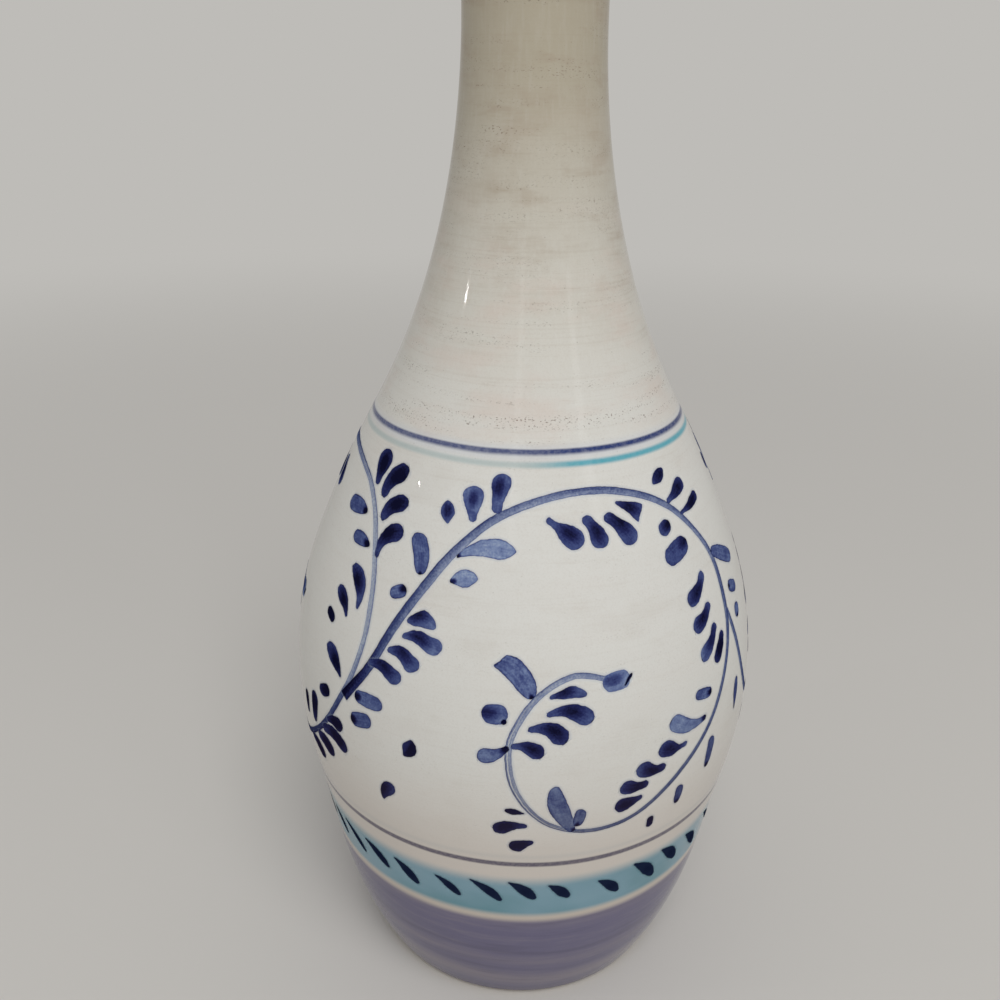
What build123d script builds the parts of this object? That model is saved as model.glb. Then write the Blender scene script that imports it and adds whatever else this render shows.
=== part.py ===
from build123d import *
import os
from math import asin, atan2, cos, degrees, radians, sin, sqrt

# Bottle vase: a hand-thrown earthenware bottle with a round belly, a sloping shoulder and a slim neck.
# Two thrown clay sections are luted together at the shoulder and glazed outside and inside.
# Millimetres, +Z up, origin at the centre of the foot on the table.

# Form of the outside, over the glaze: diameters, and each level's rise above the one below it
foot_diameter = 100
waist_diameter = 133
belly_diameter = 150
shoulder_diameter = 94
neck_diameter = 39.6
lip_diameter = 50
waist_rise = 49.5
belly_rise = 56.5
shoulder_rise = 87
neck_rise = 109
lip_rise = 40

# Lean of the wall at those levels, in degrees outward from upright; the belly and neck are upright there
foot_lean = 28.6
waist_lean = 9.7
shoulder_lean = -28.6
lip_lean = 25

# Clay, glaze and the slip between the two sections
clay_wall = 5
floor_thickness = 8
floor_corner_radius = 14
glaze_coat = 0.5
slip_thickness = 0.8

# Foot: bare resting ring around a turned recess, with the glaze stopping above the table
foot_ring_width = 9
foot_recess = 3
foot_edge_radius = 1.2
recess_corner_radius = 2
bare_height = 2.5

# Depths below the glazed outside at which the layers of the wall change
clay_face = glaze_coat
liner_face = clay_face + clay_wall
cavity_face = liner_face + glaze_coat
middle_depth = cavity_face / 2

# Levels worked out from the rises
waist_height = waist_rise
belly_height = waist_height + belly_rise
shoulder_height = belly_height + shoulder_rise
neck_height = shoulder_height + neck_rise
overall_height = neck_height + lip_rise
floor_height = foot_recess + floor_thickness


def heading(lean):
    """Direction of a wall that leans outward by lean degrees as it rises: X is radius, Y is height."""
    return Vector(sin(radians(lean)), cos(radians(lean)))


def inward(lean):
    """Direction square to such a wall, into the clay."""
    return Vector(-cos(radians(lean)), sin(radians(lean)))


def arc_meeting(start, start_lean, end, end_lean):
    """Point and lean where two arcs meet that leave start and arrive at end with the given leans."""
    leave = heading(start_lean)
    arrive = heading(end_lean)
    span = end - start
    along = span.dot(leave + arrive)
    spread = 2 * (1 - leave.dot(arrive))
    reach = span.dot(span) / (along + sqrt(along**2 + spread * span.dot(span)))
    meeting = (start + end + (leave - arrive) * reach) * 0.5
    chord = meeting - start
    return meeting, 2 * degrees(atan2(chord.X, chord.Y)) - start_lean


def run_on(start, start_lean, end, length):
    """Station that an arc from start to end reaches when it is carried on below start by length."""
    chord = end - start
    half_turn = radians(start_lean) - atan2(chord.X, chord.Y)
    extra_lean = degrees(asin(sin(half_turn) * length / chord.length))
    return start - heading(start_lean + extra_lean) * length, start_lean + 2 * extra_lean


def wall_stations():
    """Points and leans where the arcs and straight runs of the glazed outside meet, from below the table up."""
    slip_run = heading(shoulder_lean) * slip_thickness
    belly_rim = Vector(shoulder_diameter / 2, shoulder_height)
    lip_centre = Vector(lip_diameter / 2 - middle_depth, overall_height - middle_depth)
    lip = lip_centre - inward(lip_lean) * middle_depth
    lower = [
        (Vector(foot_diameter / 2, 0), foot_lean),
        (Vector(waist_diameter / 2, waist_height), waist_lean),
        (Vector(belly_diameter / 2, belly_height), 0),
        (belly_rim, shoulder_lean),
    ]
    upper = [
        (belly_rim + slip_run, shoulder_lean),
        (Vector(neck_diameter / 2, neck_height), 0),
        (lip, lip_lean),
    ]
    foot, first_meeting, *rising = with_meetings(lower)
    below_table = run_on(*foot, first_meeting[0], cavity_face)
    return [below_table, first_meeting, *rising], with_meetings(upper)


def with_meetings(levels):
    """The given levels with the meeting point of the two arcs between each pair of neighbours."""
    stations = levels[:1]
    for (start, start_lean), (end, end_lean) in zip(levels, levels[1:]):
        stations.append(arc_meeting(start, start_lean, end, end_lean))
        stations.append((end, end_lean))
    return stations


def sunk(station, depth):
    """A station's point, moved into the wall by depth."""
    point, lean = station
    return point + inward(lean) * depth


def wall_line(stations, depth):
    """Edges through the stations at one depth: arcs, or straight where the lean stays the same."""
    edges = []
    for start, end in zip(stations, stations[1:]):
        first = sunk(start, depth)
        last = sunk(end, depth)
        if start[1] == end[1]:
            edges.append(Line(first, last))
        else:
            edges.append(TangentArc(first, last, tangent=heading(start[1])))
    return edges


def closed_face(edges, *corners):
    """Face bounded by a run of edges and the straight sides from its end through the corners to its start."""
    path = [edges[-1] @ 1, *corners, edges[0] @ 0]
    sides = [Line(first, last) for first, last in zip(path, path[1:])]
    return make_face(Curve() + edges + sides)


def enclosed(stations, depth, rim_depth):
    """Face between the axis and the wall at depth, with a top edge square to the wall in to rim_depth."""
    edges = wall_line(stations, depth)
    rim = sunk(stations[-1], rim_depth)
    corners = [rim] if rim_depth > depth else []
    return closed_face(edges, *corners, Vector(0, rim.Y), Vector(0, (edges[0] @ 0).Y))


def slab(radius, low, high):
    """Rectangle from the axis out to radius, between two heights."""
    return Pos(radius / 2, (low + high) / 2) * Rectangle(radius, high - low)


def corner_room(stations, depth, floor):
    """Radius of the largest floor corner that touches the wall below the end of its first arc."""
    arc_end = stations[1]
    return (sunk(arc_end, depth).Y - floor) / (1 - sin(radians(arc_end[1]))) - glaze_coat


def hollow(stations, depth, rim_depth, floor, corner_radius):
    """Face of the inside of the vase at depth, above the floor, with its floor corner rounded."""
    face = enclosed(stations, depth, rim_depth) & slab(belly_diameter, floor, overall_height)
    corner = face.vertices().filter_by(lambda v: abs(v.Y - floor) < glaze_coat / 2).sort_by(Axis.X)[-1]
    return fillet(corner, min(corner_radius, corner_room(stations, depth, floor)))


def lip_coat(stations, wall_depth):
    """Quarter ring of glaze over the lip, from the end of the wall at wall_depth to the crown."""
    lip = stations[-1]
    centre = sunk(lip, middle_depth)
    side = (sunk(lip, wall_depth) - centre).normalized()
    crown = heading(lip_lean)
    clay_radius = middle_depth - glaze_coat
    glazed = TangentArc(centre + side * middle_depth, centre + crown * middle_depth, tangent=crown)
    clay = TangentArc(centre + side * clay_radius, centre + crown * clay_radius, tangent=crown)
    ends = [Line(glazed @ 1, clay @ 1), Line(clay @ 0, glazed @ 0)]
    return make_face(Curve() + [glazed, clay] + ends)


def turned(face):
    """The solid that a half section makes when it turns about the axis of the vase."""
    return revolve(Plane.XZ * face, Axis.Z)


def belly(lower):
    """Lower thrown section: wall, floor, bare resting ring and turned recess, up to the shoulder rim."""
    ring_inside = foot_diameter / 2 - foot_ring_width
    face = enclosed(lower, clay_face, liner_face) & slab(belly_diameter, 0, overall_height)
    face -= hollow(lower, liner_face, liner_face, floor_height, floor_corner_radius)
    edge = face.vertices().filter_by(lambda v: abs(v.Y) < glaze_coat / 2).sort_by(Axis.X)[-1]
    face = fillet(edge, foot_edge_radius)
    recess = slab(ring_inside, -foot_recess, foot_recess)
    recess_corner = recess.vertices().sort_by(Axis.Y)[-2:].sort_by(Axis.X)[-1]
    return turned(face - fillet(recess_corner, recess_corner_radius))


def luting_slip(lower, upper):
    """Ring of slip that joins the rims of the two thrown sections."""
    joint = [lower[-1], upper[0]]
    inner_edge = wall_line(joint, liner_face)[0]
    return turned(closed_face(wall_line(joint, clay_face), inner_edge @ 1, inner_edge @ 0))


def neck(upper):
    """Upper thrown section: shoulder cone, neck and flared lip with a half-round edge."""
    outer = wall_line(upper, clay_face)
    inner = wall_line(upper, liner_face)
    rounded_lip = TangentArc(outer[-1] @ 1, inner[-1] @ 1, tangent=heading(lip_lean))
    joint_face = Line(inner[0] @ 0, outer[0] @ 0)
    return turned(make_face(Curve() + outer + inner + [rounded_lip, joint_face]))


def outer_glaze(lower, upper):
    """Glaze coat outside, from above the bare foot to the crown of the lip."""
    whole = lower + upper
    coat = enclosed(whole, 0, clay_face) - enclosed(whole, clay_face, clay_face)
    coat &= slab(belly_diameter, bare_height, overall_height)
    return turned(coat + lip_coat(upper, 0))


def liner_glaze(lower, upper):
    """Glaze coat inside, over the floor and up the wall to the crown of the lip."""
    whole = lower + upper
    outside = hollow(whole, liner_face, cavity_face, floor_height, floor_corner_radius)
    glazed_floor = floor_height + glaze_coat
    inside = hollow(whole, cavity_face, cavity_face, glazed_floor, floor_corner_radius - glaze_coat)
    return turned(outside - inside + lip_coat(upper, cavity_face))


lower_stations, upper_stations = wall_stations()
nodes = {
    "belly": belly(lower_stations),
    "luting_slip": luting_slip(lower_stations, upper_stations),
    "neck": neck(upper_stations),
    "outer_glaze": outer_glaze(lower_stations, upper_stations),
    "liner_glaze": liner_glaze(lower_stations, upper_stations),
}
os.makedirs("parts", exist_ok=True)
for name, solid in nodes.items():
    export_step(solid, f"parts/{name}.step")
    print(name, "volume", round(solid.volume), "valid", solid.is_valid, "solids", len(solid.solids()))
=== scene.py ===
import random
from collections import namedtuple
from math import asin, atan2, ceil, cos, pi, radians, sin, sqrt, tau

import bmesh
import bpy
from bpy.props import FloatProperty, FloatVectorProperty, IntProperty, PointerProperty
from mathutils import Matrix, Vector


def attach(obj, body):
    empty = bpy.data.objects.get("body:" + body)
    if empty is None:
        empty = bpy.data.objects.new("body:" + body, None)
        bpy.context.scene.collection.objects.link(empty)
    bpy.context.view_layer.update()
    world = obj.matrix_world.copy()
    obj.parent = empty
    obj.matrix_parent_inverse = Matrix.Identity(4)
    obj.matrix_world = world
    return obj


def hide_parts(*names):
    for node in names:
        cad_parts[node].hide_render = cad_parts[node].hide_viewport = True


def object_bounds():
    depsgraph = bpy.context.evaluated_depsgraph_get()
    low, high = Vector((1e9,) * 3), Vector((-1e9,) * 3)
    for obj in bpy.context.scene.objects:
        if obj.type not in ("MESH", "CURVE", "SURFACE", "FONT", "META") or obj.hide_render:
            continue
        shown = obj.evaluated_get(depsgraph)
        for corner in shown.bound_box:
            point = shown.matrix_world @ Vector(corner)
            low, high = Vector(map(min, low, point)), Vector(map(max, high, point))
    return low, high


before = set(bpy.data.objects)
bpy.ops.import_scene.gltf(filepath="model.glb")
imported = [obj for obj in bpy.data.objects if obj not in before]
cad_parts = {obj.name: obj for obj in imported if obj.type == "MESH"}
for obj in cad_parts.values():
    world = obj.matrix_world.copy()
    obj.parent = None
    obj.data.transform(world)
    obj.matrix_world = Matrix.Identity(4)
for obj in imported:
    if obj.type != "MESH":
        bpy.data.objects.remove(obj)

bl_info = {
    "name": "Painted Bottle Vase",
    "version": (1, 0, 0),
    "blender": (4, 5, 0),
    "location": "3D View > Sidebar > Vase",
    "description": "Dresses the packed bottle vase with its glaze, painted vine, bare clay and a stage",
    "category": "Object",
}

MM = 0.001
CAD_BOX = [list(corner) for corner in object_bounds()]
BELLY_WIDTH = CAD_BOX[1][0] - CAD_BOX[0][0]
BODY = "root"
CREASE = radians(40)


def painted(red, green, blue):
    """Linear colour of a paint written as screen values from 0 to 255."""
    shares = (red / 255, green / 255, blue / 255)
    return tuple(s / 12.92 if s <= 0.04045 else ((s + 0.055) / 1.055) ** 2.4 for s in shares)


def length_setting(name, description, millimetres):
    """A length that the sidebar shows, with its default in millimetres."""
    return FloatProperty(name=name, description=description, default=millimetres * MM, unit="LENGTH",
                         precision=5)


def lean_setting(name, description, turn):
    """A lean of the wall outward from upright, with its default in degrees."""
    return FloatProperty(name=name, description=description, default=radians(turn), subtype="ANGLE")


def colour_setting(name, description, *screen):
    """A colour that the sidebar shows, with its default in screen values."""
    return FloatVectorProperty(name=name, description=description, default=painted(*screen),
                               subtype="COLOR", min=0, max=1)


def power_setting(name, description, watts):
    """The power of a lamp that the sidebar shows, with its default in watts."""
    return FloatProperty(name=name, description=description, default=watts, unit="POWER")


class VaseForm(bpy.types.PropertyGroup):
    """Sizes of the vase, the same as in its solids."""

    foot_diameter: length_setting("Foot", "Across the foot on the table, over the glaze", 100)
    waist_diameter: length_setting("Waist", "Across the wall at the waist level", 133)
    belly_diameter: length_setting("Belly", "Across the widest part", BELLY_WIDTH / MM)
    shoulder_diameter: length_setting("Shoulder", "Across the joint of the two thrown sections", 94)
    neck_diameter: length_setting("Neck", "Across the slimmest part of the neck", 39.6)
    lip_diameter: length_setting("Lip", "Across the lip", 50)
    waist_height: length_setting("Waist height", "Height of the waist level", 49.5)
    belly_height: length_setting("Belly height", "Height of the widest part", 106)
    shoulder_height: length_setting("Shoulder height", "Height of the joint", 193)
    neck_height: length_setting("Neck height", "Height of the slimmest part", 302)
    overall_height: length_setting("Overall height", "Height of the whole vase", 342)
    foot_lean: lean_setting("Foot lean", "Lean of the wall at the foot", 28.6)
    waist_lean: lean_setting("Waist lean", "Lean of the wall at the waist level", 9.7)
    shoulder_lean: lean_setting("Shoulder lean", "Lean of the wall at the joint", -28.6)
    lip_lean: lean_setting("Lip lean", "Lean of the wall at the lip", 25)
    clay_wall: length_setting("Clay wall", "Thickness of the clay", 5)
    glaze_coat: length_setting("Glaze coat", "Thickness of each coat of glaze", 0.5)
    slip_thickness: length_setting("Slip", "Thickness of the slip in the joint", 0.8)
    bare_height: length_setting("Bare height", "Height of the bare clay under the glaze", 2.5)
    floor_height: length_setting("Floor height", "Height of the clay floor inside", 11)
    floor_corner: length_setting("Floor corner", "Radius between the clay wall and the floor", 14)
    row_height: length_setting("Row height", "Height of one row of the wall's mesh", 1.6)
    wheel_steps: IntProperty(name="Wheel steps", description="Faces around the wall", default=240, min=24)


class GlazeColours(bpy.types.PropertyGroup):
    """Colours of the clay, the slip and the pigments under the glaze, with some painted shade, shadow and
    reflection.
    """

    slip_white: colour_setting("Slip", "Thick brushed slip on the belly", 213, 212, 207)
    shoulder_slip: colour_setting("Shoulder slip", "The slip where it thins on the shoulder", 204, 201, 192)
    # Partly the thinner slip up the neck and partly painted shade, which darkens the neck towards the top
    neck_slip_and_shade: colour_setting("Neck slip", "Thin slip up the neck", 175, 167, 149)
    bare_streak: colour_setting("Bare streaks", "Patches where the clay is thinly covered", 160, 143, 124)
    rose_streak: colour_setting("Rose patches", "Pinkish patches on the shoulder", 204, 186, 175)
    fleck: colour_setting("Flecks", "Dark iron flecks in the slip", 100, 80, 66)
    cobalt_pale: colour_setting("Pale cobalt", "A thin wash of cobalt", 142, 161, 191)
    cobalt_wash: colour_setting("Cobalt wash", "A watery stroke of cobalt", 97, 117, 163)
    stem_pale: colour_setting("Pale stem", "A watery stem", 146, 157, 178)
    stem_wash: colour_setting("Stem", "A stem of middling depth", 101, 115, 154)
    stem_mid: colour_setting("Full stem", "A full stem", 61, 73, 116)
    cobalt_mid: colour_setting("Cobalt", "An even stroke of cobalt", 66, 78, 126)
    cobalt_deep: colour_setting("Deep cobalt", "A full stroke of cobalt", 34, 39, 86)
    cobalt_pool: colour_setting("Pooled cobalt", "Cobalt that ran together in a stroke", 8, 9, 40)
    cobalt_bleed: colour_setting("Bled cobalt", "The faint blue around a stroke", 176, 189, 212)
    line_blue: colour_setting("Shoulder line", "The line around the shoulder", 42, 57, 108)
    # Painted reflection: a dark violet tint that the strokes low on the belly take, standing in for a dark
    # surface below
    painted_reflection_tint: colour_setting("Violet ink", "The tint of the strokes low on the belly", 50, 43, 66)
    turquoise: colour_setting("Turquoise", "The wash of the band", 108, 151, 170)
    turquoise_green: colour_setting("Green turquoise", "The greener parts of the band", 97, 141, 154)
    turquoise_line: colour_setting("Turquoise line", "The thin line under the shoulder line", 58, 156, 174)
    band_edge: colour_setting("Band edge", "The bare slip between the band and the base", 192, 182, 171)
    violet: colour_setting("Violet", "The wash around the base", 103, 99, 127)
    # The laps' colour also gives the painted shadow that darkens the wash at the foot
    violet_lap_and_shadow: colour_setting("Violet laps", "Where two turns of the brush overlap", 80, 76, 100)
    lilac: colour_setting("Lilac", "Where the wash of the base is thin", 134, 126, 137)
    faint_line: colour_setting("Faint line", "The left half of the thin line", 134, 164, 168)
    warm_slip: colour_setting("Warm slip", "The slip between the lower line and the band", 206, 196, 187)
    violet_line: colour_setting("Violet line", "The thin line above the band", 82, 76, 96)
    dash_ink: colour_setting("Dashes", "The short dashes on the band", 30, 40, 65)
    clay: colour_setting("Clay", "Bare fired clay at the foot", 164, 148, 135)
    clay_grain: colour_setting("Clay grain", "Grog and turning lines in the clay", 122, 102, 88)
    joint_slip: colour_setting("Joining slip", "The slip in the joint", 206, 190, 168)
    liner: colour_setting("Liner glaze", "The glaze inside", 208, 202, 188)
    floor: colour_setting("Floor", "The studio floor", 206, 203, 198)
    backdrop: colour_setting("Backdrop", "What the camera sees beyond the floor", 190, 188, 184)


class StudioSetup(bpy.types.PropertyGroup):
    """Light levels of the stage."""

    key_power: power_setting("Key", "Power of the large soft lamp", 60)
    strip_power: power_setting("Strips", "Power of the brighter tall lamp", 1.1)
    glint_power: power_setting("Glint", "Power of the small lamp", 0.13)
    sky_level: FloatProperty(name="Sky", description="Level of the light all around", default=0.37, min=0)


# Profile of the wall: X is the radius, Y is the height, and a lean is in radians outward from upright

Arc = namedtuple("Arc", "start start_lean end_lean centre radius")
LIP_ROWS = 10
CLAY_LIP_ROWS = 6
FLOOR_CORNER_ROWS = 8


def heading(lean):
    """Direction of a wall that leans outward as it rises."""
    return Vector((sin(lean), cos(lean)))


def inward(lean):
    """Direction square to such a wall, into the clay."""
    return Vector((-cos(lean), sin(lean)))


def arc_meeting(start, start_lean, end, end_lean):
    """Point and lean where two arcs meet that leave start and arrive at end with the given leans."""
    leave = heading(start_lean)
    arrive = heading(end_lean)
    span = end - start
    along = span.dot(leave + arrive)
    spread = 2 * (1 - leave.dot(arrive))
    reach = span.dot(span) / (along + sqrt(along**2 + spread * span.dot(span)))
    meeting = (start + end + (leave - arrive) * reach) / 2
    chord = meeting - start
    return meeting, 2 * atan2(chord.x, chord.y) - start_lean


def arcs_through(levels):
    """Arcs of the wall through the given points and leans, two between each pair of neighbours."""
    stations = levels[:1]
    for (start, start_lean), (end, end_lean) in zip(levels, levels[1:]):
        stations.append(arc_meeting(start, start_lean, end, end_lean))
        stations.append((end, end_lean))
    arcs = []
    for (start, start_lean), (end, end_lean) in zip(stations, stations[1:]):
        radius = (end - start).length / (2 * sin((start_lean - end_lean) / 2))
        arcs.append(Arc(start, start_lean, end_lean, start + inward(start_lean) * radius, radius))
    return arcs


class Profile:
    """The outside of the vase as tangent arcs, with the layers of the wall under it."""

    def __init__(self, form):
        self.coat = form.glaze_coat
        self.liner_depth = form.glaze_coat + form.clay_wall
        self.cavity_depth = self.liner_depth + form.glaze_coat
        self.half_wall = self.cavity_depth / 2
        self.lip_lean = form.lip_lean
        self.lip_centre = Vector((form.lip_diameter / 2 - self.half_wall,
                                  form.overall_height - self.half_wall))
        rim = Vector((form.shoulder_diameter / 2, form.shoulder_height))
        lower = [
            (Vector((form.foot_diameter / 2, 0)), form.foot_lean),
            (Vector((form.waist_diameter / 2, form.waist_height)), form.waist_lean),
            (Vector((form.belly_diameter / 2, form.belly_height)), 0),
            (rim, form.shoulder_lean),
        ]
        upper = [
            (rim + heading(form.shoulder_lean) * form.slip_thickness, form.shoulder_lean),
            (Vector((form.neck_diameter / 2, form.neck_height)), 0),
            (self.lip_centre - inward(form.lip_lean) * self.half_wall, form.lip_lean),
        ]
        self.arcs = arcs_through(lower) + arcs_through(upper)

    def arc_at(self, height):
        """The arc that a height lies on."""
        below = [arc for arc in self.arcs if arc.start.y <= height]
        return below[-1] if below else self.arcs[0]

    def lean_at(self, height, depth=0):
        """Lean of the wall where it has a given height, at a depth under the outside."""
        arc = self.arc_at(height)
        return asin((arc.centre.y - height) / (arc.radius - depth))

    def radius_at(self, height):
        """Radius of the outside at a height."""
        arc = self.arc_at(height)
        return arc.centre.x + arc.radius * cos(self.lean_at(height))

    def line(self, depth, low, row_height):
        """Points of the wall at one depth from a height up to the lip, about a row apart."""
        points = []
        for arc in self.arcs:
            radius = arc.radius - depth
            start_lean = arc.start_lean
            end_height = arc.centre.y - radius * sin(arc.end_lean)
            if end_height <= low:
                continue
            if arc.centre.y - radius * sin(start_lean) < low:
                start_lean = asin((arc.centre.y - low) / radius)
            rows = ceil(abs(radius * (arc.end_lean - start_lean)) / row_height)
            for row in range(rows + 1):
                lean = start_lean + (arc.end_lean - start_lean) * row / rows
                points.append(arc.centre - inward(lean) * radius)
        return points

    def lip_edge(self, side):
        """Points over the lip from an angle on its side to the crown, and back there under the glaze."""
        crown = pi / 2 - self.lip_lean
        glazed = self.round_corner(self.lip_centre, self.half_wall, side, crown, LIP_ROWS)
        clay = self.round_corner(self.lip_centre, self.half_wall - self.coat, crown, side, CLAY_LIP_ROWS)
        return glazed[1:] + clay

    def round_corner(self, centre, radius, start, end, rows):
        """Points of an arc about a centre between two angles, which are measured from outward, upward."""
        turns = [start + (end - start) * row / rows for row in range(rows + 1)]
        return [centre + Vector((cos(turn), sin(turn))) * radius for turn in turns]

    def place(self, around, height, lift):
        """Point at degrees around, rightward from the front, and a height, lifted off the outside."""
        lean = self.lean_at(height)
        out = self.radius_at(height) + cos(lean) * lift
        turn = radians(around)
        return Vector((out * sin(turn), -out * cos(turn), height - sin(lean) * lift))

    def spread(self, height):
        """Metres on the wall for one degree around and for one metre of height."""
        return radians(self.radius_at(height)), 1 / cos(self.lean_at(height))


# Node helpers

class Value:
    """A number that a finish works out at each point; arithmetic on it adds Math nodes."""

    def __init__(self, finish, socket):
        self.finish = finish
        self.socket = socket

    def math(self, operation, first, second):
        return self.finish.node("ShaderNodeMath", {"operation": operation}, {0: first, 1: second})

    def __add__(self, other):
        return self.math("ADD", self, other)

    def __radd__(self, other):
        return self.math("ADD", other, self)

    def __sub__(self, other):
        return self.math("SUBTRACT", self, other)

    def __rsub__(self, other):
        return self.math("SUBTRACT", other, self)

    def __mul__(self, other):
        return self.math("MULTIPLY", self, other)

    def __rmul__(self, other):
        return self.math("MULTIPLY", other, self)

    def __truediv__(self, other):
        return self.math("DIVIDE", self, other)

    def __rtruediv__(self, other):
        return self.math("DIVIDE", other, self)

    def larger(self, other):
        return self.math("MAXIMUM", self, other)

    def smaller(self, other):
        return self.math("MINIMUM", self, other)

    def above(self, other):
        return self.math("GREATER_THAN", self, other)


class Finish:
    """The nodes of one material or world, with short ways to add them."""

    def __init__(self, tree):
        self.tree = tree

    def node(self, kind, settings, inputs, output=0):
        """Adds a node, makes its settings, fills its sockets and gives one of its outputs."""
        made = self.tree.nodes.new(kind)
        for name, setting in settings.items():
            if name == "stops":
                self.set_stops(made.color_ramp, setting)
            else:
                setattr(made, name, setting)
        for name, value in inputs.items():
            self.feed(made.inputs[name], value)
        return Value(self, made.outputs[output])

    def set_stops(self, ramp, stops):
        """Gives a colour ramp its stops, each a position and a colour."""
        while len(ramp.elements) < len(stops):
            ramp.elements.new(1)
        for element, (position, colour) in zip(ramp.elements, stops):
            element.position = position
            element.color = (*colour, 1)

    def feed(self, socket, value):
        """Links a value to a socket, or sets the socket to a number or colour."""
        if isinstance(value, Value):
            self.tree.links.new(value.socket, socket)
        elif socket.type == "RGBA":
            socket.default_value = (*value[:3], 1)
        else:
            socket.default_value = value

    def mix(self, share, first, second):
        """A colour between two others."""
        return self.node("ShaderNodeMix", {"data_type": "RGBA"}, {0: share, 6: first, 7: second}, 2)

    def step(self, value, low, high):
        """0 below low, 1 above high and smooth between; with low above high it falls instead."""
        settings = {"interpolation_type": "SMOOTHSTEP"}
        if low < high:
            limits = {"Value": value, "From Min": low, "From Max": high}
            return self.node("ShaderNodeMapRange", settings, limits)
        return 1 - self.step(value, high, low)

    def band(self, value, low, high, soft):
        """1 between two values, falling to 0 over a soft edge outside each."""
        return self.step(value, low - soft, low + soft) * self.step(value, high + soft, high - soft)

    def object_place(self):
        """Object coordinates, in metres."""
        return self.node("ShaderNodeTexCoord", {}, {}, "Object")

    def axes(self, vector):
        """The three parts of a vector."""
        whole = self.node("ShaderNodeSeparateXYZ", {}, {0: vector})
        outputs = whole.socket.node.outputs
        return [Value(self, outputs[axis]) for axis in range(3)]

    def vector(self, operation, first, second=(0, 0, 0), output=0):
        """Vector Math on two vectors."""
        return self.node("ShaderNodeVectorMath", {"operation": operation}, {0: first, 1: second}, output)

    def noise(self, place, scale, detail=2.0, roughness=0.5):
        """Noise from 0 to 1 with its own scale along each axis, in waves a metre."""
        stretched = self.vector("MULTIPLY", place, scale)
        return self.node("ShaderNodeTexNoise", {}, {"Vector": stretched, "Scale": 1, "Detail": detail,
                                                    "Roughness": roughness})

    def specks(self, place, scale, share, size):
        """Round specks in a share of the cells of a loose grid, with their radius as a part of a cell."""
        cells = self.node("ShaderNodeTexVoronoi", {}, {"Vector": place, "Scale": scale})
        chance = self.axes(Value(self, cells.socket.node.outputs["Color"]))[0]
        return self.step(cells, size, size * 0.5) * self.step(chance, 1 - share, 1.02 - share)

    def attribute(self, name):
        """A vector that the mesh carries."""
        return self.node("ShaderNodeAttribute", {"attribute_name": name}, {}, "Vector")

    def bump(self, height, depth, normal=None):
        """A normal that follows a height from 0 to 1, worth the given depth in metres."""
        inputs = {"Height": height, "Distance": depth, "Strength": 1}
        if normal is not None:
            inputs["Normal"] = normal
        return self.node("ShaderNodeBump", {}, inputs)


def new_finish(name, constants, varying):
    """A Principled material, with constants for some sockets and a function that works out the others."""
    material = bpy.data.materials.new(name)
    material.use_nodes = True
    finish = Finish(material.node_tree)
    shader = material.node_tree.nodes["Principled BSDF"]
    for socket, value in constants.items():
        finish.feed(shader.inputs[socket], value)
    for socket, value in varying(finish).items():
        finish.feed(shader.inputs[socket], value)
    return material


# Finishes

# Heights in millimetres of the slip's changes and of the painted lines and bands: the limits of each, or
# where it fades from and to
SLIP_THINS = (176, 232)
SLIP_TURNS_BEIGE = (216, 298)
NECK_STARTS = (205, 280)
SHOULDER = (192, 248)
FLECK_ROWS = (195, 208)
THICK_DUST = (195, 210)
THIN_DUST = (206, 228)
COBALT_HALO = (191, 194.4)
COBALT_UPPER_EDGE = (193.9, 193.3)
COBALT_LOWER_EDGE = (191.7, 192.8)
TURQUOISE_LINE = (189.2, 190.6)
WARM_GROUND = (116, 66)
FAINT_TURQUOISE = (77.4, 79)
LOWER_LINE = (74, 75.9)
BAND_UPPER_EDGE = (70, 64)
BAND_LOWER_EDGE = (49.8, 52.8)
BARE_EDGE = (47, 52)
BASE_UPPER_EDGE = (49.8, 47)
BASE_PALE_TOP = (43, 49)
BASE_PALE_MIDDLE = (25, 29)
BASE_PALE_FOOT = (11, 18)
BASE_UPPER_LAP = (31.6, 32.8)
BASE_LOWER_LAP = (21, 22)
# Painted shadow: where the wash around the base darkens towards the foot
BASE_FOOT_SHADOW = (9, 1)
# Painted reflection: where the strokes take their dark tint, from none to all of it
REFLECTION_TINT_HEIGHTS = (128, 84)

# The turquoise line under the shoulder line is strong to the right of the front and faint elsewhere:
# where it fades from and to, in metres across
STRONG_SIDE = (-0.004, 0.016)

# Heights of the relief in the glaze and the clay
RING_DEPTH = 0.06 * MM
RIDGE_DEPTH = 0.006 * MM
RIPPLE_DEPTH = 0.008 * MM
GROG_DEPTH = 0.1 * MM

CLEAR_GLAZE = {"IOR": 1.5, "Specular IOR Level": 0.17}
PIGMENT_GLAZE = {"IOR": 1.5, "Specular IOR Level": 0.0}


def glaze_gloss(finish, place):
    """Roughness and normal of the clear glaze: slow throwing rings, brush ridges and a fine ripple."""
    rings = finish.noise(place, (6, 6, 90), 2)
    ridges = finish.noise(place, (24, 24, 500), 3)
    ripple = finish.noise(place, (260, 260, 260), 2)
    normal = finish.bump(rings, RING_DEPTH)
    normal = finish.bump(ridges, RIDGE_DEPTH, normal)
    normal = finish.bump(ripple, RIPPLE_DEPTH, normal)
    roughness = 0.02 + finish.noise(place, (60, 60, 60), 3) * 0.03
    return {"Roughness": roughness, "Normal": normal}


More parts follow.
